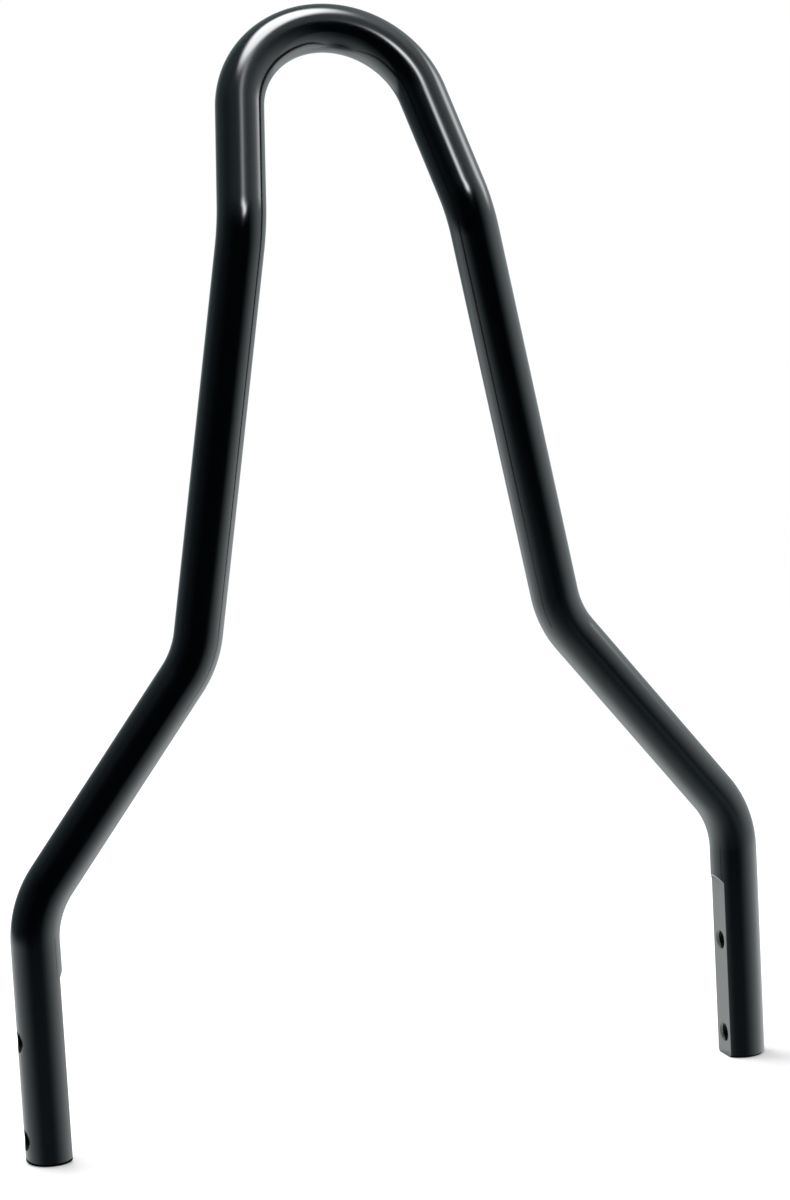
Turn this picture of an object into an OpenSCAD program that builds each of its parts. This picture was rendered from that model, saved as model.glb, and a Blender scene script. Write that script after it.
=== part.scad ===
// Backrest bar for a motorbike, of the tall hooped kind.
// One round steel bar stands on two upright feet, flares in to a shoulder,
// runs up a narrow stem, leans back at the neck and turns round in a hoop.
// Each foot has a milled flat on its inner side, with an arched upper end,
// and two tapped holes that run square through the flat and the bar.
// X runs across the bar, Y to the rear, Z up. The origin lies midway between
// the feet, level with their lower ends.

/* [Bar] */
// Diameter of the round bar
bar_d = 19; // [17:0.5:21]
// Radius of every bend, at the middle of the bar
bend_r = 38; // [32:1:42]

/* [Feet] */
// Distance between the middles of the two feet
foot_gap = 292; // [260:1:320]
// Bevel round the lower end of each foot
end_bevel = 0.9; // [0.3:0.1:1.5]
// Straight bar left between a flat and the first bend
foot_plain_h = 11.2; // [4:0.1:40]

/* [Flats and holes] */
// Depth that each flat is milled into the bar
flat_depth = 2.2; // [1.6:0.1:2.6]
// Diameter of the cutter that mills the flats, which rounds their upper ends
cutter_d = 20; // [15:1:30]
// Height of the flat above its upper hole, at the top of the arch
flat_over = 26.6; // [15:0.1:40]
// Height of the lower hole above the end of the foot
hole_low = 9.5; // [8:0.5:14]
// Distance between the two holes of a foot
hole_pitch = 39; // [25:0.5:50]
// Bore of the tapped holes, before the thread
hole_d = 6.8; // [5:0.1:7.4]
// Depth of the bevel at a hole's mouth in the flat
mouth_bevel = 0.6; // [0.3:0.1:0.9]

/* [Hoop] */
// Distance between the middles of the bar at the shoulder bends
shoulder_gap = 150.5; // [130:0.5:180]
// Height from the first bends to the shoulder bends
flare_h = 89.5; // [75:0.5:120]
// Distance between the middles of the bar at the neck bends
neck_gap = 92.5; // [86:0.5:110]
// Height from the shoulder bends to the neck bends
stem_h = 163.5; // [120:0.5:220]
// Angle that the top leans back from upright
lean = 27; // [12:1:40]
// Rise of the hoop above the neck bends, measured along the lean
hoop_rise = 80.5; // [79:0.5:120]

/* [Hidden] */

$fn = 96;
black_paint = [0.05, 0.05, 0.055];
spill = 1;

// Bending draws the bar a hair thinner, and a bend's ends seat inside the straights
bend_thinning = 0.02;
seat_turn = 0.9;

bar_r = bar_d / 2;
foot_x = foot_gap / 2;
inner_x = foot_x - bar_r;
outer_x = foot_x + bar_r;

flat_x = inner_x + flat_depth;
hole_high = hole_low + hole_pitch;
flat_top = hole_high + flat_over;

// The outer mouth is bevelled deeper, as the round bar falls away round it
outer_bevel_extra = 0.3;
outer_bevel = mouth_bevel + outer_bevel_extra;

// The hoop's middle and the taper of its legs, both in the leaning plane
hoop_middle = hoop_rise - bend_r;
hoop_taper = acos(bend_r / norm([neck_gap / 2, hoop_middle]))
           - atan2(hoop_middle, neck_gap / 2);

function unit(v) = v / norm(v);
function turn_at(way_in, way_out) = acos(way_in * way_out);
function setback(turn) = bend_r * tan(turn / 2);
function leaning(x, rise) = [x, rise * sin(lean), rise * cos(lean)];

// Ways of travel along one leg, from the foot to the hoop
upright = [0, 0, 1];
flare_way = unit([(shoulder_gap - foot_gap) / 2, 0, flare_h]);
stem_way = unit([(neck_gap - shoulder_gap) / 2, 0, stem_h]);
top_way = leaning(-sin(hoop_taper), cos(hoop_taper));
ways = [upright, flare_way, stem_way, top_way];

// Corners where the ways meet, before they are rounded by the bends
foot_bend_z = flat_top + foot_plain_h + setback(turn_at(upright, flare_way));
shoulder_z = foot_bend_z + flare_h;
neck_z = shoulder_z + stem_h;
neck_corner = [neck_gap / 2, 0, neck_z];
hoop_start = [0, 0, neck_z]
           + leaning(bend_r * cos(hoop_taper), hoop_middle + bend_r * sin(hoop_taper));
corners = [
    [foot_x, 0, end_bevel],
    [foot_x, 0, foot_bend_z],
    [shoulder_gap / 2, 0, shoulder_z],
    neck_corner,
    hoop_start
];
setbacks = [
    0,
    setback(turn_at(ways[0], ways[1])),
    setback(turn_at(ways[1], ways[2])),
    setback(turn_at(ways[2], ways[3])),
    0
];

module straight(start, end) {
    way = end - start;
    translate(start)
        rotate([0, acos(way.z / norm(way)), atan2(way.y, way.x)])
            cylinder(h = norm(way), d = bar_d);
}

// A bent stretch, run on at both ends so that it seats inside the straight ones
module arc(turn) {
    rotate([0, 0, -seat_turn])
        rotate_extrude(angle = turn + 2 * seat_turn)
            translate([bend_r, 0])
                circle(d = bar_d - 2 * bend_thinning);
}

// A bend at a corner: its first radius points away from the side it turns to
module bend(corner, way_in, way_out) {
    turn = turn_at(way_in, way_out);
    begin = corner - setback(turn) * way_in;
    inward = unit(way_out - (way_out * way_in) * way_in);
    middle = begin + bend_r * inward;
    axis = cross(-inward, way_in);
    multmatrix([
        [-inward.x, way_in.x, axis.x, middle.x],
        [-inward.y, way_in.y, axis.y, middle.y],
        [-inward.z, way_in.z, axis.z, middle.z],
        [0, 0, 0, 1]
    ]) arc(turn);
}

module foot_end() {
    translate([foot_x, 0, 0]) cylinder(h = end_bevel, d1 = bar_d - 2 * end_bevel, d2 = bar_d);
}

module leg() {
    foot_end();
    for (i = [0 : len(ways) - 1])
        straight(corners[i] + setbacks[i] * ways[i], corners[i + 1] - setbacks[i + 1] * ways[i]);
    for (i = [1 : len(ways) - 1])
        bend(corners[i], ways[i - 1], ways[i]);
}

module hoop() {
    translate([0, 0, neck_z])
        rotate([-lean, 0, 0])
            translate([0, 0, hoop_middle])
                rotate([90, 0, 0])
                    rotate([0, 0, hoop_taper])
                        arc(180 - 2 * hoop_taper);
}

// The path of the cutter: up the inner side of a foot, to the arch
module flat_cut() {
    arch_z = flat_top - cutter_d / 2;
    translate([inner_x - spill, -cutter_d / 2, -spill])
        cube([flat_depth + spill, cutter_d, arch_z + spill]);
    translate([inner_x - spill, 0, arch_z])
        rotate([0, 90, 0])
            cylinder(h = flat_depth + spill, d = cutter_d);
}

module mouth(depth) {
    cylinder(h = depth + spill, d1 = hole_d, d2 = hole_d + 2 * (depth + spill));
}

module tapped_hole(z) {
    translate([inner_x, 0, z])
        rotate([0, 90, 0])
            cylinder(h = bar_d + spill, d = hole_d);
    translate([flat_x + mouth_bevel, 0, z])
        rotate([0, -90, 0])
            mouth(mouth_bevel);
    translate([outer_x - outer_bevel, 0, z])
        rotate([0, 90, 0])
            mouth(outer_bevel);
}

module foot_cuts() {
    flat_cut();
    for (z = [hole_low, hole_high])
        tapped_hole(z);
}

module sissy_bar() {
    color(black_paint)
        difference() {
            union() {
                hoop();
                for (side = [0, 1])
                    mirror([side, 0, 0]) leg();
            }
            for (side = [0, 1])
                mirror([side, 0, 0]) foot_cuts();
        }
}

sissy_bar();
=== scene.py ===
"""Backrest bar for a motorbike: the painted bar, its threads and the studio it stands in."""

import math

import bpy
import numpy as np
from bpy.props import FloatProperty, FloatVectorProperty, IntProperty, PointerProperty
from bpy.types import Operator, Panel, PropertyGroup
from mathutils import Euler, Matrix


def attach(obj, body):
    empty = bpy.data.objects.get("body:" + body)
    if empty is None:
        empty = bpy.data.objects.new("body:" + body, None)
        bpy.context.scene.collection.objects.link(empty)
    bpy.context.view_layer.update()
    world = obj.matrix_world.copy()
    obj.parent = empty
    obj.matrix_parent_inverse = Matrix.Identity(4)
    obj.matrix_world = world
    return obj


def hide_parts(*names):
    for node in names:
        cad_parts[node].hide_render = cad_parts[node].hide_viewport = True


bl_info = {
    "name": "Backrest bar",
    "version": (1, 0, 0),
    "blender": (4, 5, 0),
    "location": "View3D > Sidebar > Backrest bar",
    "description": "Builds a gloss black hooped backrest bar with milled, tapped feet",
    "category": "Add Mesh",
}

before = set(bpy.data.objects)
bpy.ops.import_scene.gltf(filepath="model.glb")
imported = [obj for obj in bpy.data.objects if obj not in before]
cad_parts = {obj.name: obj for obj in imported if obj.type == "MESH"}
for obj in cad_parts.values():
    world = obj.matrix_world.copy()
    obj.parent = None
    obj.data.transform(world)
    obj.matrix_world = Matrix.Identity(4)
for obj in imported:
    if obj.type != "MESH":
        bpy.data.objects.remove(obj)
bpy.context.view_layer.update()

NODE = "sissy_bar"

# Finish of a face, which is also the place of its material on the bar
PAINTED, MILLED, LIP, THREADED = range(4)

# The other side of the middle plane, and the front half of a foot
FLIP_X = np.array([-1.0, 1.0, 1.0])
FLIP_Y = np.array([1.0, -1.0, 1.0])

# The ways that the right foot's flat and its end face
INWARD = np.array([-1.0, 0.0, 0.0])
DOWNWARD = np.array([0.0, 0.0, -1.0])

# Points this close are welded, and the shift keeps round sizes off the border of two cells
WELD = 1e-6
WELD_SHIFT = 0.37

# Turn of a bend that one face spans, in degrees, and the least number of faces along a bend
BEND_STEP = 1.5
BEND_FACES = 4

# The strip at the back of a foot, with the outer mouths of the holes, is one such part of the turn
BACK_PARTS = 5

# Columns of faces over the lip of a flat and down its wall, and rows up its arch
LIP_COLUMNS = 6
WALL_COLUMNS = 3
ARCH_ROWS = 32

# Rows of faces between two holes or over them, rings round a hole's mouth, and rings in an end
GAP_ROWS = 4
MOUTH_RINGS = 6
END_RINGS = 4

# The rings round a mouth crowd towards it by this power
MOUTH_CROWDING = 1.5

# Steps in which a thread's outer mouth is fitted to the round bar
MOUTH_STEPS = 80

# Greatest share of the wall under the arch that its rounded lip takes up
LIP_SHARE = 0.45

# Height of the thread's wave and its fall over one pitch, before it is cut off at nought and one
THREAD_PEAK = 1.15
THREAD_FALL = 2.6

# The thread's first crest takes the flats' light grey, a painted glint, for this share of the pitch
# past the bevel
GLINT_CREST = 0.3


# Settings

def length_field(name, default, description):
    """A length in metres that a user can change."""
    return FloatProperty(
        name=name, description=description, default=default,
        min=0.0, max=1.0, unit="LENGTH", subtype="DISTANCE", precision=5,
    )


def share_field(name, default, description):
    """A number from nought to one that a user can change."""
    return FloatProperty(
        name=name, description=description, default=default, min=0.0, max=1.0, subtype="FACTOR",
    )


def colour_field(name, default, description, high=1.0):
    """A colour in red, green and blue that a user can change."""
    return FloatVectorProperty(
        name=name, description=description, default=default,
        subtype="COLOR", size=3, min=0.0, max=high,
    )


def light_field(name, default, description, high=50.0):
    """A brightness that a user can change."""
    return FloatProperty(name=name, description=description, default=default, min=0.0, max=high)


def count_field(name, default, description, low, high, step=1):
    """A number of faces that a user can change."""
    return IntProperty(
        name=name, description=description, default=default, min=low, max=high, step=step,
    )


class BarSizes(PropertyGroup):
    """Sizes of the bar, the same as in its solid."""
    bar_d: length_field("Bar diameter", 0.019, "Diameter of the round bar")
    bend_r: length_field("Bend radius", 0.038, "Radius of every bend, at the middle of the bar")
    foot_gap: length_field("Foot gap", 0.292, "Distance between the middles of the two feet")
    end_bevel: length_field("End bevel", 0.0009, "Bevel round the lower end of each foot")
    foot_plain_h: length_field("Plain height", 0.0112, "Straight bar between a flat and the first bend")
    flat_depth: length_field("Flat depth", 0.0022, "Depth that each flat is milled into the bar")
    flat_over: length_field("Flat over hole", 0.0266, "Height of the flat above its upper hole")
    cutter_d: length_field("Cutter", 0.02, "Diameter of the cutter that rounds the flat's upper end")
    hole_low: length_field("Lower hole", 0.0095, "Height of the lower hole above the foot's end")
    hole_pitch: length_field("Hole pitch", 0.039, "Distance between the two holes of a foot")
    hole_d: length_field("Hole diameter", 0.0068, "Bore of the tapped holes, at the thread's crests")
    mouth_bevel: length_field("Mouth bevel", 0.0006, "Depth of the bevel at a hole's mouth in the flat")
    outer_bevel: length_field("Outer bevel", 0.0009, "Depth of the bevel at a hole's outer mouth")
    shoulder_gap: length_field("Shoulder gap", 0.1505, "Distance between the shoulder bends")
    flare_h: length_field("Flare height", 0.0895, "Height from the first bends to the shoulder bends")
    neck_gap: length_field("Neck gap", 0.0925, "Distance between the neck bends")
    stem_h: length_field("Stem height", 0.1635, "Height from the shoulder bends to the neck bends")
    hoop_rise: length_field("Hoop rise", 0.0805, "Rise of the hoop above the neck, along the lean")
    lean: FloatProperty(
        name="Lean", description="Angle that the top leans back from upright",
        default=math.radians(27.0), min=0.1, max=0.8, subtype="ANGLE",
    )
    edge_r: length_field("Edge rounding", 0.00035, "Radius of the flat's long edges")
    arch_r: length_field("Arch rounding", 0.0008, "Radius of the lip over the flat's arch")
    thinning: length_field("Thinning", 0.00004, "How much thinner the bar draws in its bends")
    thread_pitch: length_field("Thread pitch", 0.00125, "Pitch of the thread in the holes")
    thread_depth: length_field("Thread depth", 0.00052, "Depth of the thread's grooves")
    thread_start: share_field("Thread start", 0.23, "Share of a turn that the thread is turned by")


class BarMesh(PropertyGroup):
    """How finely the bar's surface is divided."""
    around: count_field("Around", 100, "Faces round the bar, a multiple of ten", 40, 200, step=10)
    hole_rows: count_field("Rows beside a hole", 16, "Rows of faces beside each hole", 8, 40)
    thread_rows: count_field("Rows in a hole", 112, "Rows of faces down each tapped hole", 20, 160)


class BarFinish(PropertyGroup):
    """The paint's colour and surface."""
    paint: colour_field("Paint", (0.0002, 0.0007, 0.0013), "Colour of the paint")
    # The flats' grey is partly thin paint and partly a painted reflection, lighter than the paint's own
    # gloss makes it
    flat_paint_and_reflection: colour_field(
        "Flat paint and reflection", (0.168, 0.174, 0.172), "Colour of the thin paint on the milled flats",
    )
    # The lip's light grey is a painted highlight: it stands in for the bright line that the arch's edge
    # catches
    lip_highlight: colour_field(
        "Lip highlight", (0.42, 0.43, 0.43), "Colour of the lip over the flat, where the paint is thinnest",
    )
    thread_colour: colour_field(
        "Thread", (0.003, 0.003, 0.0032), "Colour of the oiled threads in the holes",
    )
    flat_roughness: share_field("Flat roughness", 0.32, "Roughness of the milled flats")
    roughness: share_field("Roughness", 0.16, "Roughness of the paint under its clear coat")
    coat_roughness: share_field("Coat roughness", 0.05, "Roughness of the clear coat")
    peel_size: length_field("Peel size", 0.0022, "Width of the ripples in the sprayed paint")
    peel_depth: length_field("Peel depth", 0.0000012, "Depth of the ripples in the sprayed paint")


class StudioLook(PropertyGroup):
    """Floor, walls and lamps of the studio."""
    floor: colour_field("Floor", (0.86, 0.86, 0.86), "Colour of the floor")
    room_light: light_field("Room light", 0.8, "Strength of the even white light of the room", 2.0)
    wall_tint: colour_field(
        "Wall tint", (0.955, 1.0, 1.0), "Colour of the light from the bright parts of the room", 2.0,
    )
    shade_tint: colour_field(
        "Shade tint", (0.735, 1.0, 1.12), "Colour of the light from the dim parts of the room", 2.0,
    )
    lamp_tint: colour_field(
        "Lamp tint", (0.97, 0.98, 1.0), "Colour of the lamps that the paint reflects",
    )
    key_lamp: FloatProperty(
        name="Key lamp", description="Power of the soft lamp that casts the shadow",
        default=16.0, min=0.0, max=100.0, unit="POWER",
    )
    overhead: light_field("Overhead panel", 9.9, "Brightness of the round panel overhead")
    front_strip: light_field("Front strip", 10.3, "Brightness of the upright strip in front")
    side_strip: light_field("Side strip", 3.0, "Brightness of the upright strip on the right")


# The line that the bar is bent along

def unit(v):
    """The vector v at length one, for one vector or an array of them."""
    return v / np.linalg.norm(v, axis=-1, keepdims=True)


def hoop_taper(s):
    """Angle of the hoop's legs to upright: they touch a circle of the bend radius at the crown."""
    middle = s.hoop_rise - s.bend_r
    half = s.neck_gap / 2
    return math.acos(s.bend_r / math.hypot(half, middle)) - math.atan2(middle, half)


def leaning(s, x, rise):
    """A point or direction in the leaning plane, from its place across and its rise along it."""
    x, rise = np.broadcast_arrays(np.asarray(x, float), np.asarray(rise, float))
    return np.stack([x, rise * math.sin(s.lean), rise * math.cos(s.lean)], axis=-1)


def bend_turns(first, last):
    """Angles along a bend from the first to the last, a step of about BEND_STEP apart."""
    faces = max(BEND_FACES, int(math.ceil(math.degrees(last - first) / BEND_STEP)))
    return np.linspace(first, last, faces + 1)


def flat_top(s):
    """Height of the top of the flat's arch."""
    return s.hole_low + s.hole_pitch + s.flat_over


def centre_line(s, start_z):
    """Points and directions of the bar's middle from start_z in the right foot to the left foot.

    Each bend is a circle's arc that touches the two straights it joins: a point on it is the arc's
    centre, less the inward direction times radius times the turn's cosine, plus the way in times
    radius times its sine.
    """
    taper = hoop_taper(s)
    ways = [
        np.array([0.0, 0.0, 1.0]),
        unit(np.array([(s.shoulder_gap - s.foot_gap) / 2, 0.0, s.flare_h])),
        unit(np.array([(s.neck_gap - s.shoulder_gap) / 2, 0.0, s.stem_h])),
        leaning(s, -math.sin(taper), math.cos(taper)),
    ]
    turns = [math.acos(float(a @ b)) for a, b in zip(ways[:-1], ways[1:])]
    backs = [s.bend_r * math.tan(turn / 2) for turn in turns]
    gaps = (s.foot_gap, s.shoulder_gap, s.neck_gap)
    heights = np.cumsum([flat_top(s) + s.foot_plain_h + backs[0], s.flare_h, s.stem_h])
    corners = [np.array([gap / 2, 0.0, z]) for gap, z in zip(gaps, heights)]
    points = [np.array([[s.foot_gap / 2, 0.0, start_z]])]
    headings = [ways[0][None]]
    for corner, way, after, turn, back in zip(corners, ways[:-1], ways[1:], turns, backs):
        inward = unit(after - (after @ way) * way)
        centre = corner - back * way + s.bend_r * inward
        t = bend_turns(0.0, turn)[:, None]
        points.append(centre - s.bend_r * np.cos(t) * inward + s.bend_r * np.sin(t) * way)
        headings.append(np.cos(t) * way + np.sin(t) * inward)

    # Half of the hoop, up to the crown, which the other half mirrors
    t = bend_turns(taper, math.pi / 2)
    neck = np.array([0.0, 0.0, heights[-1]])
    middle = s.hoop_rise - s.bend_r
    points.append(neck + leaning(s, s.bend_r * np.cos(t), middle + s.bend_r * np.sin(t)))
    headings.append(leaning(s, -np.sin(t), np.cos(t)))
    points = np.concatenate(points)
    headings = np.concatenate(headings)
    other = points[-2::-1] * FLIP_X
    back_down = -headings[-2::-1] * FLIP_X
    return np.concatenate([points, other]), np.concatenate([headings, back_down])


# Patches: each is a grid of points with the surface's direction at each of them

def patch(points, normals, finish=PAINTED):
    """One patch of the surface: its points, its unit normals and its faces' finish, as grids."""
    faces = (points.shape[0] - 1, points.shape[1] - 1)
    normals = unit(np.broadcast_to(normals, points.shape))
    return points, normals, np.broadcast_to(np.asarray(finish, dtype=np.int32), faces)


def closed(grid):
    """The grid with its first column repeated at its end."""
    return np.concatenate([grid, grid[:, :1]], axis=1)


def tube_patch(s, angles, start_z):
    """The round bar between the two feet: a circle carried square along the centre line."""
    middle, way = centre_line(s, start_z)
    rearward = unit(np.array([0.0, 1.0, 0.0]) - way[:, 1:2] * way)
    inward = np.cross(way, rearward)
    normals = (np.cos(angles)[None, :, None] * inward[:, None]
               + np.sin(angles)[None, :, None] * rearward[:, None])
    radius = np.full((len(middle), 1, 1), s.bar_d / 2 - s.thinning)
    radius[[0, -1]] = s.bar_d / 2
    return patch(middle[:, None] + radius * normals, normals)


def foot_way(inward, y, z):
    """A direction in the right foot from how far it goes inward, to the rear and up."""
    inward, y, z = np.broadcast_arrays(inward, y, z)
    return np.stack([-inward, y, z], axis=-1)


def foot_point(s, inward, y, z):
    """A point of the right foot from its distance inward of the bar's middle, its y and its z."""
    return foot_way(inward, y, z) + [s.foot_gap / 2, 0.0, 0.0]


def round_rows(s, radius, turn, z, slope=0.0):
    """Points and directions of rows round the right foot's middle, whose way out has this slope.

    A point lies the radius times the turn's cosine inward, and the radius times its sine rearward.
    """
    points = foot_point(s, radius * np.cos(turn), radius * np.sin(turn), z)
    return points, foot_way(np.cos(turn), np.sin(turn), slope)


class FootGrid:
    """How the right foot is divided: its rows' heights and its columns' places and turns.

    The straight rows run from over the end's bevel to the foot of the arch, and the arch's rows
    from there to its top. Over the rows of the plain spans there is no hole.
    """

    def __init__(self, s, mesh):
        r = s.bar_d / 2
        self.plane = r - s.flat_depth
        self.cutter_r = s.cutter_d / 2
        self.arch_z = flat_top(s) - self.cutter_r
        half_flat = math.sqrt(r ** 2 - self.plane ** 2)
        start = math.acos(half_flat / self.cutter_r)
        self.arch_turns = np.linspace(start, math.pi / 2, ARCH_ROWS + 1)[1:]

        self.hole_z = [s.hole_low, s.hole_low + s.hole_pitch]
        self.reach = s.hole_low - s.end_bevel
        self.hole_rows = mesh.hole_rows
        (low0, low1), (high0, high1) = [(z - self.reach, z + self.reach) for z in self.hole_z]
        side_top = self.arch_z + self.cutter_r * math.sin(start)
        self.straight = np.concatenate([
            np.linspace(low0, low1, self.hole_rows + 1),
            np.linspace(low1, high0, GAP_ROWS + 1)[1:],
            np.linspace(high0, high1, self.hole_rows + 1)[1:],
            np.linspace(high1, side_top, GAP_ROWS + 1)[1:],
        ])
        high_row = self.hole_rows + GAP_ROWS
        self.plain_spans = [
            slice(self.hole_rows, high_row + 1), slice(high_row + self.hole_rows, None),
        ]

        self.n_back = mesh.around // BACK_PARTS
        self.n_side = (mesh.around - self.n_back) // 2
        self.back_half = math.pi / BACK_PARTS
        back_from, back_to = math.pi - self.back_half, math.pi + self.back_half
        self.back_turns = np.linspace(back_from, back_to, self.n_back + 1)[None]
        self.flat_shares = np.linspace(1.0, -1.0, self.n_back + 1)[None]

    def side_turns(self, edge_turn):
        """Turns of the columns from each row's edge of the flat to the strip at the back."""
        share = np.linspace(0.0, 1.0, self.n_side + 1)[None]
        return edge_turn[:, None] * (1 - share) + (math.pi - self.back_half) * share


def edge_strip(s, grid, z, radius):
    """The rounded edge where the straight side of the flat meets the round bar, for y above 0.

    It is a small arc that touches the bar's circle from within and the flat's plane: its centre
    lies the edge radius below both. Given for rows at heights z, where the bar has this radius.
    """
    r = s.edge_r
    middle_in = grid.plane - r
    middle_y = np.sqrt((radius - r) ** 2 - middle_in ** 2)[:, None]
    widest = np.arctan2(middle_y, middle_in)
    t = widest * np.linspace(1.0, 0.0, LIP_COLUMNS + 1)[None]
    inward = middle_in + r * np.cos(t)
    y = middle_y + r * np.sin(t)
    return inward, y, np.broadcast_to(z[:, None], y.shape), np.cos(t), np.sin(t)


def arch_strip(s, grid):
    """The rounded lip and the wall under the flat's arch, for y above 0.

    Each row lies in a plane through the arch's own middle. The lip is a conic curve from the bar's
    surface over the corner to the wall, and the wall drops straight to the flat.
    """
    r = s.bar_d / 2
    t = grid.arch_turns[:, None]
    top = np.sqrt(r ** 2 - (grid.cutter_r * np.cos(t)) ** 2)
    lip = np.minimum(s.arch_r, LIP_SHARE * (top - grid.plane))
    far_y = (grid.cutter_r + lip) * np.cos(t)
    far_in = np.sqrt(r ** 2 - far_y ** 2)

    # The conic through three points: the first, the corner at the weight of a quarter circle, the last
    k = np.linspace(0.0, 1.0, LIP_COLUMNS + 1)[None]
    first, corner, last = (1 - k) ** 2, 2 * k * (1 - k) * math.sqrt(0.5), k ** 2
    total = first + corner + last
    lip_in = (first * far_in + corner * top + last * (top - lip)) / total
    lip_dist = grid.cutter_r + first * lip / total
    lip_n_in = (1 - k) * far_in / r
    lip_n_out = (1 - k) * (far_y / r) * np.cos(t) - k

    wall = np.linspace(0.0, 1.0, WALL_COLUMNS + 1)[None, 1:]
    wall_in = (top - lip) * (1 - wall) + grid.plane * wall
    inward = np.concatenate([lip_in, wall_in], axis=1)
    dist = np.concatenate([lip_dist, np.full_like(wall_in, grid.cutter_r)], axis=1)
    n_in = np.concatenate([lip_n_in, np.zeros_like(wall_in)], axis=1)
    n_out = np.concatenate([lip_n_out, np.full_like(wall_in, -1.0)], axis=1)
    y, z = dist * np.cos(t), grid.arch_z + dist * np.sin(t)
    return inward, y, z, n_in, n_out * np.cos(t), n_out * np.sin(t)


def lip_rows(s, grid):
    """Points and directions of the flat's edge, then of its arch's lip and wall, for y above 0."""
    side = edge_strip(s, grid, grid.straight, np.full(len(grid.straight), s.bar_d / 2))
    # The straight rows have no wall, so their last point takes its place
    side = [np.concatenate([v] + WALL_COLUMNS * [v[:, -1:]], axis=1) for v in side]
    side.append(np.zeros_like(side[0]))
    arch = arch_strip(s, grid)
    inward, y, z, n_in, n_y, n_z = (np.concatenate(rows) for rows in zip(side, arch))
    return foot_point(s, inward, y, z), foot_way(n_in, n_y, n_z)


def foot_patches(s, mesh):
    """All patches of the right foot, and the turns and the height where the plain tube takes over."""
    r = s.bar_d / 2
    grid = FootGrid(s, mesh)
    strip, strip_n = lip_rows(s, grid)
    arch = len(grid.straight) - 1
    patches = []
    for flip in (1.0, FLIP_Y):
        patches.append(patch(strip[:arch + 1] * flip, strip_n[:arch + 1] * flip))
        over, over_n = strip[arch:] * flip, strip_n[arch:] * flip
        patches.append(patch(over[:, :LIP_COLUMNS + 1], over_n[:, :LIP_COLUMNS + 1], LIP))
        patches.append(patch(over[:, LIP_COLUMNS:], over_n[:, LIP_COLUMNS:], MILLED))

    # The bar's own surface beside the flat, round to the strip at the back
    skin_z = strip[:, :1, 2]
    turns = grid.side_turns(np.arctan2(strip[:, 0, 1], s.foot_gap / 2 - strip[:, 0, 0]))
    skin, skin_n = round_rows(s, r, turns, skin_z)
    patches.append(patch(skin, skin_n))
    patches.append(patch(skin * FLIP_Y, skin_n * FLIP_Y))

    # The strip at the back and the flat, away from the holes
    for span in grid.plain_spans:
        patches.append(patch(*round_rows(s, r, grid.back_turns, skin_z[span])))
    for span in grid.plain_spans:
        y, z = strip[span, -1:, 1] * grid.flat_shares, strip[span, -1:, 2]
        patches.append(patch(foot_point(s, grid.plane, y, z), INWARD, MILLED))

    half_flat = strip[0, -1, 1]
    for hole_z in grid.hole_z:
        patches.extend(hole_patches(s, grid, mesh, hole_z, half_flat))
    patches.extend(end_patches(s, grid))
    top = turns[-1]
    far_side = 2 * math.pi - top[:0:-1]
    ring = np.concatenate([top, grid.back_turns[0, 1:-1], far_side, top[:1] + 2 * math.pi])
    return patches, ring, skin_z[-1, 0]


def square_loop(half_y, half_z, n_y, n_z):
    """Points round a rectangle, from its upper right corner by the top, left, bottom and right."""
    top = np.linspace(half_y, -half_y, n_y + 1)[:-1]
    down = np.linspace(half_z, -half_z, n_z + 1)[:-1]
    y = np.concatenate([top, np.full(n_z, -half_y), -top, np.full(n_z, half_y)])
    z = np.concatenate([np.full(n_y, half_z), down, np.full(n_y, -half_z), -down])
    return y, z


def thread_wave(s, turn, depth):
    """One at the thread's root and nought at its crest: a wave that winds down the hole.

    Its phase is the depth in pitches plus the turn as a share of a full one. From the middle of
    the phase it falls evenly both ways, and it is cut off flat at one and at nought.
    """
    phase = (depth / s.thread_pitch + turn / (2 * math.pi) + s.thread_start) % 1.0
    return np.clip(THREAD_PEAK - THREAD_FALL * np.abs(phase - 0.5), 0.0, 1.0)


def thread_radius(s, turn, depth, length_in):
    """Radius of a tapped hole: the greatest of its thread, its inner bevel and its outer bevel."""
    core = s.hole_d / 2
    inner = core + s.mouth_bevel - depth
    outer = core + s.outer_bevel + depth - length_in
    thread = core + s.thread_depth * thread_wave(s, turn, depth)
    return np.maximum(thread, np.maximum(inner, outer))


def mouth_rings(mouth, edge):
    """Rings from a hole's mouth out to the square round it, closer together near the mouth."""
    near = np.linspace(0.0, 1.0, MOUTH_RINGS + 1)[:, None] ** MOUTH_CROWDING
    return closed(mouth * (1 - near) + edge * near)


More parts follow.
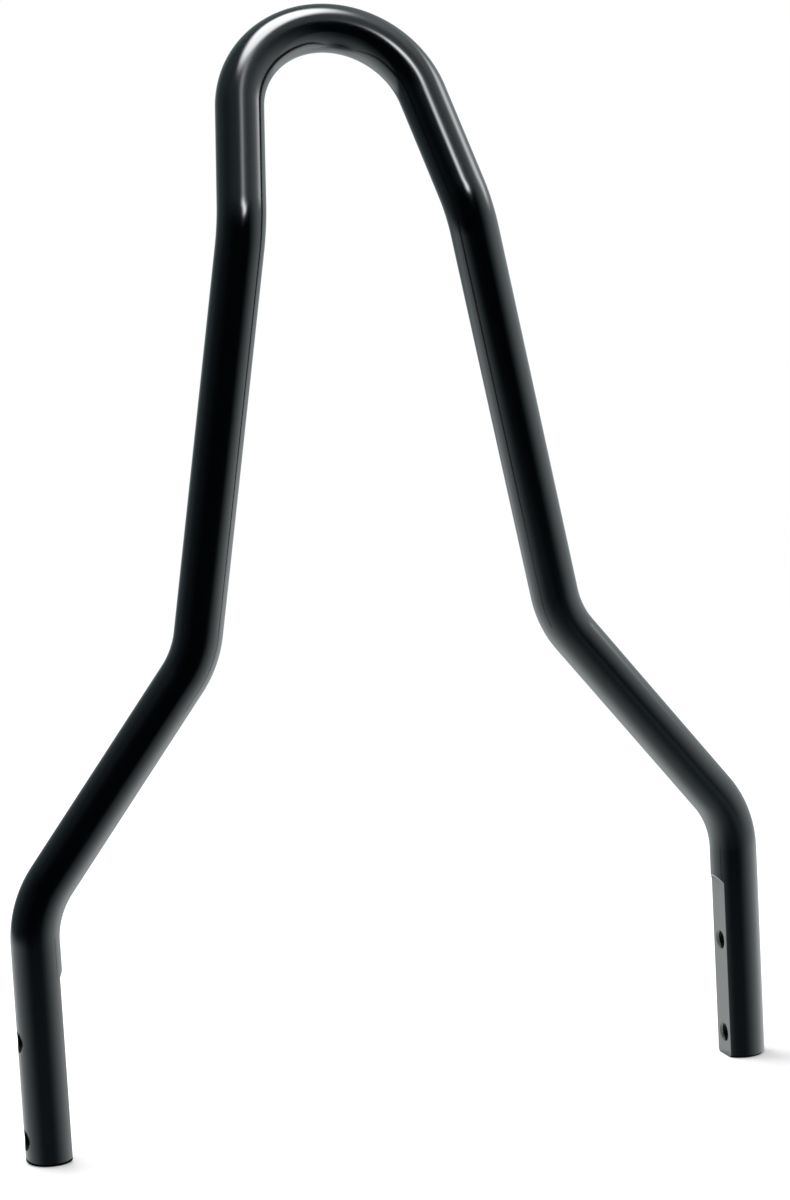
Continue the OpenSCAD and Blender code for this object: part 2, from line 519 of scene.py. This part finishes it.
def hole_patches(s, grid, mesh, hole_z, half_flat):
    """A tapped hole through the foot, and the square patches that it opens in at both ends.

    The hole's columns run from the flat to the round side, each at the thread's radius for its
    turn and depth. The squares' rings go in a straight line from mouth to edge, in the flat as it
    lies and at the back as it is rolled out.
    """
    r = s.bar_d / 2
    through = s.bar_d - s.flat_depth
    y_in, z_in = square_loop(half_flat, grid.reach, grid.n_back, grid.hole_rows)
    y_out, z_out = square_loop(r * grid.back_half, grid.reach, grid.n_back, grid.hole_rows)
    turn_in = np.arctan2(z_in, y_in)
    turn_out = np.arctan2(z_out, y_out)

    def side_depth(radius):
        """Depth below the flat at which a hole of this radius meets the round bar."""
        return grid.plane + np.sqrt(r ** 2 - (radius * np.cos(turn_out)) ** 2)

    # The thread and the outer bevel end where they meet the round bar, found step by step
    mouth_out = np.full(turn_out.shape, s.hole_d / 2 + s.outer_bevel)
    for _ in range(MOUTH_STEPS):
        mouth_out = thread_radius(s, turn_out, side_depth(mouth_out), through)

    down = np.linspace(0.0, 1.0, mesh.thread_rows + 1)[:, None]
    spread = (turn_out - turn_in + math.pi) % (2 * math.pi) - math.pi
    turn = turn_in + spread * down
    depth = side_depth(mouth_out) * down
    radius = thread_radius(s, turn, depth, through)
    wall = foot_point(s, grid.plane - depth, radius * np.cos(turn), hole_z + radius * np.sin(turn))
    wall = closed(wall)
    along = np.gradient(wall, axis=0)
    ringed = np.concatenate([wall[:, -2:-1], wall, wall[:, 1:2]], axis=1)
    wall_n = np.cross(along, ringed[:, 2:] - ringed[:, :-2])

    mouth_in = s.hole_d / 2 + s.mouth_bevel
    y = mouth_rings(mouth_in * np.cos(turn_in), y_in)
    z = mouth_rings(mouth_in * np.sin(turn_in), z_in)
    flat = foot_point(s, grid.plane, y, hole_z + z)

    arc = mouth_rings(r * np.arcsin(mouth_out * np.cos(turn_out) / r), y_out) / r
    z = mouth_rings(mouth_out * np.sin(turn_out), z_out)
    back = foot_point(s, -r * np.cos(arc), r * np.sin(arc), hole_z + z)

    # The milled mouth bevel and the first crest take the flats' light grey, which paints in the glint
    # of their edges
    past_bevel = depth - s.mouth_bevel
    crest = thread_wave(s, turn, depth) < 0.5
    bevel_and_crest_glint = (past_bevel < 0) | (crest & (past_bevel < GLINT_CREST * s.thread_pitch))
    return [
        patch(wall, wall_n, np.where(bevel_and_crest_glint, MILLED, THREADED)[:-1]),
        patch(flat, INWARD, MILLED),
        patch(back, foot_way(-np.cos(arc), np.sin(arc), 0.0)),
    ]


def end_patches(s, grid):
    """The bevel round the foot's lower end, and the end itself, cut off by the flat."""
    z = np.array([0.0, s.end_bevel])
    radius = s.bar_d / 2 - s.end_bevel + z
    e_in, e_y, e_z, e_ni, e_ny = edge_strip(s, grid, z, radius)
    turns = grid.side_turns(np.arctan2(e_y[:, 0], e_in[:, 0]))
    side, side_n = round_rows(s, radius[:, None], turns, z[:, None], -1.0)
    behind, behind_n = round_rows(s, radius[:, None], grid.back_turns, z[:, None], -1.0)
    edge = foot_point(s, e_in, e_y, e_z)
    edge_n = foot_way(e_ni, e_ny, 0.0)
    flat = foot_point(s, grid.plane, e_y[:, -1:] * grid.flat_shares, z[:, None])
    rim = np.concatenate([
        side[0, :-1], behind[0, :-1], (side[0, ::-1] * FLIP_Y)[:-1],
        (edge[0] * FLIP_Y)[:-1], flat[0, ::-1][:-1], edge[0, ::-1],
    ])
    centre = foot_point(s, 0.0, 0.0, 0.0)
    disc = centre + (rim - centre) * np.linspace(1.0, 0.0, END_RINGS + 1)[:, None, None]
    return [
        patch(side, side_n),
        patch(side * FLIP_Y, side_n * FLIP_Y),
        patch(behind, behind_n),
        patch(edge, edge_n),
        patch(edge * FLIP_Y, edge_n * FLIP_Y),
        patch(flat, INWARD, MILLED),
        patch(disc, DOWNWARD),
    ]


def mirrored(patches):
    """The same patches on the other side of the middle plane."""
    return [(points * FLIP_X, normals * FLIP_X, finish) for points, normals, finish in patches]


# Meshes

def grid_quads(n, m):
    """Faces of a grid of n by m points, each as the numbers of its four corners."""
    index = np.arange(n * m).reshape(n, m)
    corners = [index[:-1, :-1], index[1:, :-1], index[1:, 1:], index[:-1, 1:]]
    return np.stack(corners, axis=-1).reshape(-1, 4)


def facing_out(points, normals, finish):
    """The patch with its columns in the order that makes its faces agree with its normals."""
    long_way = points[1:, 1:] - points[:-1, :-1]
    cross_way = points[:-1, 1:] - points[1:, :-1]
    agree = np.sum(np.cross(long_way, cross_way) * normals[:-1, :-1])
    if agree > 0:
        return points, normals, finish
    return points[:, ::-1], normals[:, ::-1], finish[:, ::-1]


def join_patches(name, patches):
    """One closed mesh of all patches: shared edges are welded and each face keeps its normals.

    Points in the same cell of a fine grid become one. A face that loses one corner by it turns
    into a triangle, and a face that loses more is left out.
    """
    points, normals, quads, finishes, start = [], [], [], [], 0
    for grid, directions, finish in (facing_out(*each) for each in patches):
        quads.append(start + grid_quads(*grid.shape[:2]))
        finishes.append(finish.ravel())
        points.append(grid.reshape(-1, 3))
        normals.append(directions.reshape(-1, 3))
        start += len(points[-1])
    points, normals, quads, finishes = map(np.concatenate, (points, normals, quads, finishes))
    cells = np.floor(points / WELD + WELD_SHIFT).astype(np.int64)
    _, first, welded = np.unique(cells, axis=0, return_index=True, return_inverse=True)
    corners = welded.reshape(-1)[quads]
    keep = corners != np.roll(corners, -1, axis=1)
    solid = keep.sum(axis=1) >= 3
    corners, quads, keep, finishes = corners[solid], quads[solid], keep[solid], finishes[solid]
    sizes = keep.sum(axis=1)
    starts = np.cumsum(sizes) - sizes
    loops = corners[keep]
    check_closed(loops, starts, sizes)

    mesh = bpy.data.meshes.new(name)
    mesh.vertices.add(len(first))
    mesh.vertices.foreach_set("co", points[first].astype(np.float32).ravel())
    mesh.loops.add(len(loops))
    mesh.loops.foreach_set("vertex_index", loops.astype(np.int32))
    mesh.polygons.add(len(sizes))
    mesh.polygons.foreach_set("loop_start", starts.astype(np.int32))
    mesh.polygons.foreach_set("use_smooth", np.ones(len(sizes), dtype=bool))
    mesh.polygons.foreach_set("material_index", finishes)
    mesh.update(calc_edges=True)
    if mesh.validate(verbose=True):
        raise RuntimeError("the bar's mesh had faults")
    mesh.normals_split_custom_set(normals[quads[keep]].astype(np.float32))
    return mesh


def check_closed(loops, starts, sizes):
    """Stops the script unless each edge is run along once in each direction."""
    after = np.arange(len(loops)) + 1
    after[starts + sizes - 1] = starts
    here, there = loops.astype(np.int64), loops[after].astype(np.int64)
    many = loops.max() + 1
    way, count = np.unique(here * many + there, return_counts=True)
    back = np.unique(there * many + here)
    if count.max() > 1 or not np.array_equal(way, back):
        bad = np.setdiff1d(way, back).size
        raise RuntimeError(f"the bar's surface is open: {bad} edges, {count.max()} at most")


def grid_mesh(name, points):
    """A mesh of one grid of points, which has no thickness."""
    mesh = bpy.data.meshes.new(name)
    quads = grid_quads(*points.shape[:2])
    mesh.from_pydata(points.reshape(-1, 3).tolist(), [], quads.tolist())
    mesh.polygons.foreach_set("use_smooth", np.ones(len(mesh.polygons), dtype=bool))
    return mesh


def link(obj):
    """Puts an object into the scene."""
    bpy.context.scene.collection.objects.link(obj)
    return obj


# Nodes

def feed(node, inputs):
    """Sets a node's inputs, each to a value or to another node's output."""
    for name, value in inputs.items():
        if isinstance(value, bpy.types.NodeSocket):
            node.id_data.links.new(value, node.inputs[name])
        else:
            node.inputs[name].default_value = value


def add_node(tree, kind, inputs, **settings):
    """A new shader node with these settings, and with inputs given as for feed."""
    node = tree.nodes.new("ShaderNode" + kind)
    for name, value in settings.items():
        setattr(node, name, value)
    feed(node, inputs)
    return node


def new_material(name):
    """A new material, its node tree and its shader."""
    material = bpy.data.materials.new(name)
    material.use_nodes = True
    return material, material.node_tree, material.node_tree.nodes["Principled BSDF"]


def new_group(name, inputs, outputs):
    """A node group with a Vector and these floats, its input node and its output node."""
    group = bpy.data.node_groups.new(name, "ShaderNodeTree")
    group.interface.new_socket("Vector", in_out="INPUT", socket_type="NodeSocketVector")
    for label, value in inputs:
        socket = group.interface.new_socket(label, in_out="INPUT", socket_type="NodeSocketFloat")
        socket.default_value = value
    for label in outputs:
        group.interface.new_socket(label, in_out="OUTPUT", socket_type="NodeSocketFloat")
    nodes = group.nodes
    return group, nodes.new("NodeGroupInput"), nodes.new("NodeGroupOutput")


def math_node(tree, operation, *values, clamp=False):
    """Output of a math node whose inputs are numbers or other nodes' outputs."""
    node = add_node(tree, "Math", dict(enumerate(values)), operation=operation, use_clamp=clamp)
    return node.outputs["Value"]


def noise(tree, vector, scale, detail, roughness):
    """Output of a noise texture on these coordinates."""
    inputs = {"Vector": vector, "Scale": scale, "Detail": detail, "Roughness": roughness}
    return add_node(tree, "TexNoise", inputs).outputs["Fac"]


def seen_ray(tree):
    """One where a camera, glossy or see-through ray looks, and nought for the light itself."""
    path = add_node(tree, "LightPath", {}).outputs
    total = math_node(tree, "ADD", path["Is Camera Ray"], path["Is Glossy Ray"])
    return math_node(tree, "ADD", total, path["Is Transmission Ray"], clamp=True)


# Paint

def sprayed_paint_group():
    """Ripples and clouds of a sprayed coat, and a cutter's fine marks, from its Vector input."""
    group, given, result = new_group(
        "sprayed paint",
        [("Ripples per Metre", 450.0), ("Clouds per Metre", 14.0), ("Marks per Metre", 2600.0)],
        ["Ripple", "Cloud", "Marks"],
    )
    given = given.outputs
    vector = given["Vector"]
    # The cutter ran up the flat, so its marks are drawn out in height
    drawn_out = add_node(group, "Mapping", {"Vector": vector, "Scale": (1.0, 1.0, 0.04)})
    along = drawn_out.outputs["Vector"]
    feed(result, {
        "Ripple": noise(group, vector, given["Ripples per Metre"], detail=1.0, roughness=0.4),
        "Cloud": noise(group, vector, given["Clouds per Metre"], detail=3.0, roughness=0.55),
        "Marks": noise(group, along, given["Marks per Metre"], detail=2.0, roughness=0.5),
    })
    return group


def uneven(tree, factor, value, spread):
    """The value, lower and higher by up to this share of it with a noise."""
    # Nearly all of a noise lies between 0.3 and 0.7
    return add_node(tree, "MapRange", {
        "Value": factor, "From Min": 0.3, "From Max": 0.7,
        "To Min": (1 - spread) * value, "To Max": (1 + spread) * value,
    }).outputs["Result"]


def uneven_colour(tree, factor, colour):
    """The colour, from a little darker to a little lighter with a noise."""
    dark, light = ((*(share * c for c in colour), 1.0) for share in (0.85, 1.15))
    inputs = {"Factor": factor, "A": dark, "B": light}
    return add_node(tree, "Mix", inputs, data_type="RGBA").outputs["Result"]


def bumped(tree, height, depth):
    """The surface's direction where this height raises it, at most by depth."""
    return add_node(tree, "Bump", {"Height": height, "Distance": depth}).outputs["Normal"]


def paint_material(name, group, finish):
    """A new material with the sprayed paint group on Object coordinates."""
    material, tree, shader = new_material(name)
    place = add_node(tree, "TexCoord", {}).outputs["Object"]
    inputs = {"Vector": place, "Ripples per Metre": 1.0 / finish.peel_size}
    paint = add_node(tree, "Group", inputs, node_tree=group)
    return material, tree, shader, paint.outputs


def black_paint_material(finish, group):
    """Gloss black paint with a clear coat, slightly rippled and uneven as sprayed paint is."""
    material, tree, shader, noises = paint_material("gloss_black_paint", group, finish)
    feed(shader, {
        "Base Color": uneven_colour(tree, noises["Cloud"], finish.paint),
        "Roughness": uneven(tree, noises["Cloud"], finish.roughness, 0.15),
        "Normal": bumped(tree, noises["Ripple"], finish.peel_depth),
        "Coat Weight": 1.0,
        "Coat Roughness": finish.coat_roughness,
    })
    return material


def satin_material(name, colour, finish, group):
    """A milled or tapped face under no clear coat: satin, with the cutter's fine marks."""
    material, tree, shader, noises = paint_material(name, group, finish)
    feed(shader, {
        "Base Color": uneven_colour(tree, noises["Marks"], colour),
        "Roughness": uneven(tree, noises["Marks"], finish.flat_roughness, 0.1),
        "Normal": bumped(tree, noises["Marks"], 2 * finish.peel_depth),
    })
    return material


# Studio

# Where the photograph was taken from, in metres, the camera's angles there, in degrees, and its lens
CAMERA_AT = (-0.482647, -1.417157, 0.453637)
CAMERA_ANGLES = (80.496, 3.1138, -19.5759)
CAMERA_LENS = 116.981
SENSOR_WIDTH = 36.0

# Rings of the floor and points in each, and distances between which it fades to white, in metres
FLOOR_RINGS = (0.0, 0.5, 1.5, 4.0, 12.0, 40.0)
FLOOR_POINTS = 64
FADE_FROM = 0.45
FADE_TO = 1.3

# White that the floor near the bar gets on top of the light that falls on it
FLOOR_LIFT = 0.16

# Colour of the painted shadow right under a foot, and how far it reaches in bar diameters, by side
SHADOW_COLOUR = (0.01, 0.01, 0.01)
SHADOW_REACHES = {-1: 0.68, 1: 0.54}

# Height of the painted shadow spot over the floor, radius of the pinhole in its middle, and points
# round it
SHADOW_HEIGHT = 1e-5
PINHOLE = 1e-6
SHADOW_POINTS = 48

# Middle and radius of the ball of walls, in metres, and the step between its points, in degrees
WALLS_MIDDLE = (0.0, 0.0, 0.2)
WALLS_RADIUS = 3.0
WALLS_STEP = 2

# Light below which the dim parts' tint takes over from the bright parts'
DIM_LIGHT = 0.45

# What the key lamp faces, its turn and height from there in degrees, its distance and its width
HOOP_MIDDLE = (0.0, 0.01, 0.39)
KEY_TURN = -150.0
KEY_HEIGHT = 62.0
KEY_DISTANCE = 1.1
KEY_WIDTH = 0.8


def ray(turn, height):
    """Direction at this turn to the right of front and this height, both in degrees."""
    t, h = np.radians(turn), np.radians(height)
    across, back = np.sin(t) * np.cos(h), -np.cos(t) * np.cos(h)
    return np.stack(np.broadcast_arrays(across, back, np.sin(h)), axis=-1)


def matte_material(name, colour):
    """A dull material that doesn't shine, with its node tree and its shader."""
    material, tree, shader = new_material(name)
    feed(shader, {"Base Color": (*colour, 1.0), "Roughness": 0.9, "Specular IOR Level": 0.0})
    return material, tree, shader


def floor_material(look):
    """A pale floor that takes shadows near the bar and fades to plain white farther out."""
    material, tree, shader = matte_material("pale_floor", look.floor)
    place = add_node(tree, "TexCoord", {}).outputs["Object"]
    distance = add_node(tree, "VectorMath", {0: place}, operation="LENGTH").outputs["Value"]
    fade = {"Value": distance, "From Min": FADE_FROM, "From Max": FADE_TO}
    far = add_node(tree, "MapRange", fade, interpolation_type="SMOOTHSTEP").outputs["Result"]
    seen = seen_ray(tree)
    lift = add_node(tree, "Emission", {"Strength": math_node(tree, "MULTIPLY", seen, FLOOR_LIFT)})
    near = add_node(tree, "AddShader", {0: shader.outputs["BSDF"], 1: lift.outputs["Emission"]})
    white = add_node(tree, "Emission", {})
    blend = add_node(tree, "MixShader", {
        "Fac": math_node(tree, "MULTIPLY", far, seen),
        1: near.outputs["Shader"],
        2: white.outputs["Emission"],
    })
    feed(tree.nodes["Material Output"], {"Surface": blend.outputs["Shader"]})
    return material


def wall_material():
    """Walls that shine with the colour that their points carry."""
    material, tree, _ = new_material("studio_walls")
    material.cycles.emission_sampling = "NONE"
    shade = add_node(tree, "Attribute", {}, attribute_name="light")
    glow = add_node(tree, "Emission", {"Color": shade.outputs["Color"]})
    feed(tree.nodes["Material Output"], {"Surface": glow.outputs["Emission"]})
    return material


def level_rings(radii, count, x, z):
    """Points on circles of these radii round one middle at this x and z, count steps to each."""
    radius, turn = np.array(radii)[:, None], np.linspace(0.0, 2 * math.pi, count + 1)[None]
    x, y = x + radius * np.cos(turn), radius * np.sin(turn)
    return np.stack(np.broadcast_arrays(x, y, z), axis=-1)


def make_camera():
    """The photograph's camera, from its place and its angles."""
    data = bpy.data.cameras.new("photo_camera")
    data.lens = CAMERA_LENS
    data.sensor_width = SENSOR_WIDTH
    camera = link(bpy.data.objects.new("photo_camera", data))
    rotation = Euler([math.radians(angle) for angle in CAMERA_ANGLES])
    camera.matrix_world = Matrix.Translation(CAMERA_AT) @ rotation.to_matrix().to_4x4()
    bpy.context.scene.camera = camera


def make_floor(look):
    """A round floor level with the feet's ends."""
    mesh = grid_mesh("floor", level_rings(FLOOR_RINGS, FLOOR_POINTS, 0.0, 0.0))
    floor = link(bpy.data.objects.new("floor", mesh))
    floor.data.materials.append(floor_material(look))
    floor.visible_glossy = False


def ramp(low, high, value):
    """A smooth ramp from nought at low to one at high."""
    t = np.clip((value - low) / (high - low), 0.0, 1.0)
    return t * t * (3 - 2 * t)


def bell(value, width):
    """A smooth bump of height one at nought, which falls to about a third at the width."""
    return np.exp(-(value / width) ** 2)


# The light each way is a sum of strengths times smooth ramps between two angles, in degrees: the
# turn runs to the right of front, and the height up from level

def room_light(turn, height):
    """Light of the walls: black in front, pale on the right, and dim on the left and behind."""
    right, left = np.maximum(turn, 0.0), np.maximum(-turn, 0.0)
    room = (
        0.003 + 0.76 * ramp(18, 80, right) * (1 - 0.65 * ramp(85, 165, right))
        + 0.05 * ramp(45, 95, left) + 0.09 * ramp(90, 130, left)
        + 0.12 * ramp(140, 178, left)
    )
    gap = bell(height - 47, 8.0) * ramp(40, 58, right) * (1 - ramp(95, 120, right))
    return room * (1 - 0.28 * gap)


def glow_light(turn, height):
    """Light high up: a glow that fades towards the back, and a halo right of the front strip."""
    glow = 0.12 * ramp(25, 60, height) * (1 + np.cos(np.radians(turn)))
    halo = bell(turn - 19, 12.0) * ramp(33, 42, height) * (1 - ramp(60, 68, height))
    return glow + 0.3 * halo


def table_light(turn, height):
    """Light of the table: pale except in front and under a painted shadow of the bar right below it,
    palest low on the left.
    """
    right, left = np.maximum(turn, 0.0), np.maximum(-turn, 0.0)
    table = (
        0.02 + 1.2 * ramp(0, 100, right) * (1 - 0.6 * ramp(92, 150, right))
        + 0.8 * ramp(38, 135, left) * (1 - 0.4 * ramp(150, 178, left))
    )
    off_left = np.abs((turn + 110.0 + 180.0) % 360.0 - 180.0)
    ground = 0.3 + 0.22 * (1 - ramp(40, 110, off_left))
    table = table + ground * (1 - ramp(-60, -18, height))
    table = table + 0.05 * (1 - ramp(-18, -14, height))
    # Darker straight down: a painted shadow of the bar on the table
    return table * (0.25 + 0.75 * ramp(-82, -64, height))


def front_lamp(turn, height):
    """The upright strip in front, which swings left at mid height and fades upwards."""
    swing = 6.5 * ramp(41, 47, height) - 4.3 * ramp(51, 57, height)
    swing = swing - 1.2 * ramp(36, 39, height)
    off_middle = (turn - 0.6 + swing) * np.cos(np.radians(height))
    strip = bell(off_middle, 7.0) * ramp(32.5, 38.5, height)
    return strip * (1 - 0.8 * ramp(43, 55, height)) * (1 - ramp(64, 72, height))


def side_lamp(turn, height):
    """The upright strip on the right, low on the wall."""
    off_middle = (turn - 95) * np.cos(np.radians(height))
    strip = bell(off_middle, 11.0) * ramp(12, 24, height)
    return strip * (1 - ramp(36, 43, height))


def overhead_lamp(turn, height):
    """The panel overhead: round, with its left rear edge cut off straight."""
    across, back, _ = np.moveaxis(ray(turn, height), -1, 0)
    panel = 1 - ramp(0.24, 0.45, np.hypot(across - 0.01, back - 0.02))
    panel = panel * (1 - ramp(0.175, 0.385, 0.42 * back - 0.91 * across))
    return panel * (height > 0)


def studio_light(look, turn, height):
    """The studio's light each way, in red, green and blue: the room, the table and the lamps.

    The table takes over from the room below the height of its edge. The dimmer a part of either
    is, the cooler is its light.
    """
    below = 1 - ramp(-16, -8, height)
    base = room_light(turn, height) * (1 - below) + table_light(turn, height) * below
    base = (base + glow_light(turn, height))[..., None]
    dim = np.exp(-base / DIM_LIGHT)
    base = base * (np.array(look.wall_tint) * (1 - dim) + np.array(look.shade_tint) * dim)
    lamps = (
        look.front_strip * front_lamp(turn, height) + look.side_strip * side_lamp(turn, height)
        + look.overhead * overhead_lamp(turn, height)
    )
    return base + lamps[..., None] * np.array(look.lamp_tint)


def seen_in_gloss_only(obj):
    """Hides an object from all but reflections."""
    obj.visible_camera = False
    obj.visible_diffuse = False
    obj.visible_transmission = False
    obj.visible_shadow = False


def make_walls(look):
    """The studio's walls, lamps and table as the paint sees them: a ball round the bar.

    Its points go round by the turn and up by the height, and carry the light from there. Only
    reflections see it, so it shapes the gloss of the paint and lights nothing.
    """
    height = np.linspace(-90.0, 90.0, 180 // WALLS_STEP + 1)[:, None]
    turn = np.linspace(-180.0, 180.0, 360 // WALLS_STEP + 1)[None]
    mesh = grid_mesh("studio_walls", WALLS_RADIUS * ray(turn, height) + WALLS_MIDDLE)
    light = studio_light(look, turn, height)
    light = np.concatenate([light, np.ones_like(light[..., :1])], axis=-1)
    layer = mesh.attributes.new("light", "FLOAT_COLOR", "POINT")
    layer.data.foreach_set("color", light.astype(np.float32).ravel())
    walls = link(bpy.data.objects.new("studio_walls", mesh))
    walls.data.materials.append(wall_material())
    seen_in_gloss_only(walls)


def make_foot_shadows(s):
    """Painted shadows: dark discs right under the feet, which only the bevels of their ends reflect."""
    for side, reach in SHADOW_REACHES.items():
        radii = (PINHOLE, reach * s.bar_d)
        points = level_rings(radii, SHADOW_POINTS, side * s.foot_gap / 2, SHADOW_HEIGHT)
        spot = link(bpy.data.objects.new("foot_shadow", grid_mesh("foot_shadow", points)))
        spot.data.materials.append(matte_material("painted_foot_shadow", SHADOW_COLOUR)[0])
        seen_in_gloss_only(spot)


def make_key_lamp(look):
    """The soft lamp that casts the shadow: a square that faces the hoop from behind and above."""
    data = bpy.data.lights.new("key_lamp", "AREA")
    data.shape = "SQUARE"
    data.size = KEY_WIDTH
    data.energy = look.key_lamp
    lamp = link(bpy.data.objects.new("key_lamp", data))
    away = ray(KEY_TURN, KEY_HEIGHT)
    side = ray(KEY_TURN + 90.0, 0.0)
    axes = Matrix((side, np.cross(away, side), away)).transposed().to_4x4()
    lamp.matrix_world = Matrix.Translation(HOOP_MIDDLE + KEY_DISTANCE * away) @ axes
    lamp.visible_camera = False
    lamp.visible_glossy = False


def make_room(look):
    """Even white light all round, plain white where it is seen."""
    world = bpy.data.worlds.new("white_room")
    bpy.context.scene.world = world
    world.use_nodes = True
    tree = world.node_tree
    lit = look.room_light
    strength = math_node(tree, "MULTIPLY_ADD", seen_ray(tree), 1.0 - lit, lit)
    feed(tree.nodes["Background"], {"Strength": strength, "Color": (1.0, 1.0, 1.0, 1.0)})


# Operators

class BACKREST_OT_make_bar(Operator):
    """Builds the painted bar with its milled flats and tapped holes"""
    bl_idname = "backrest.make_bar"
    bl_label = "Make the bar"

    def execute(self, context):
        scene = context.scene
        sizes = scene.backrest_sizes
        foot, turns, start_z = foot_patches(sizes, scene.backrest_mesh)
        patches = foot + mirrored(foot) + [tube_patch(sizes, turns, start_z)]
        bar = link(bpy.data.objects.new("painted_bar", join_patches("painted_bar", patches)))
        group = sprayed_paint_group()
        finish = scene.backrest_finish
        bar.data.materials.append(black_paint_material(finish, group))
        for name, colour in (
            # The flats' grey is thin paint lightened with a painted reflection
            ("thin_paint_and_reflection_on_flat", finish.flat_paint_and_reflection),
            # The lip's light grey is a painted highlight of the arch's edge
            ("painted_highlight_on_lip", finish.lip_highlight),
            ("oiled_thread", finish.thread_colour),
        ):
            bar.data.materials.append(satin_material(name, colour, finish, group))
        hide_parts(NODE)
        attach(bar, "root")
        return {"FINISHED"}


class BACKREST_OT_make_studio(Operator):
    """Sets up the camera, the pale floor, the studio's walls and the lamps"""
    bl_idname = "backrest.make_studio"
    bl_label = "Make the studio"

    def execute(self, context):
        look = context.scene.backrest_studio
        context.scene.view_settings.view_transform = "Standard"
        make_camera()
        make_floor(look)
        make_walls(look)
        make_foot_shadows(context.scene.backrest_sizes)
        make_room(look)
        make_key_lamp(look)
        return {"FINISHED"}


class BACKREST_PT_panel(Panel):
    """Holds a button for the bar, one for the studio, and all settings"""
    bl_label = "Backrest bar"
    bl_idname = "BACKREST_PT_panel"
    bl_space_type = "VIEW_3D"
    bl_region_type = "UI"
    bl_category = "Backrest bar"

    def draw(self, context):
        self.layout.operator(BACKREST_OT_make_bar.bl_idname)
        self.layout.operator(BACKREST_OT_make_studio.bl_idname)
        for name in GROUPS:
            settings = getattr(context.scene, name)
            box = self.layout.box()
            box.label(text=settings.__doc__)
            for field in settings.__annotations__:
                box.prop(settings, field)


GROUPS = {
    "backrest_sizes": BarSizes,
    "backrest_mesh": BarMesh,
    "backrest_finish": BarFinish,
    "backrest_studio": StudioLook,
}
CLASSES = (*GROUPS.values(), BACKREST_OT_make_bar, BACKREST_OT_make_studio, BACKREST_PT_panel)


def register():
    """Adds the operators and the panel, and the settings to every scene."""
    for cls in CLASSES:
        bpy.utils.register_class(cls)
    for name, cls in GROUPS.items():
        setattr(bpy.types.Scene, name, PointerProperty(type=cls))


def unregister():
    """Takes away what register added."""
    for name in GROUPS:
        delattr(bpy.types.Scene, name)
    for cls in reversed(CLASSES):
        bpy.utils.unregister_class(cls)


def main():
    """Makes the bar and its studio."""
    register()
    bpy.ops.backrest.make_bar()
    bpy.ops.backrest.make_studio()


if __name__ == "__main__":
    main()
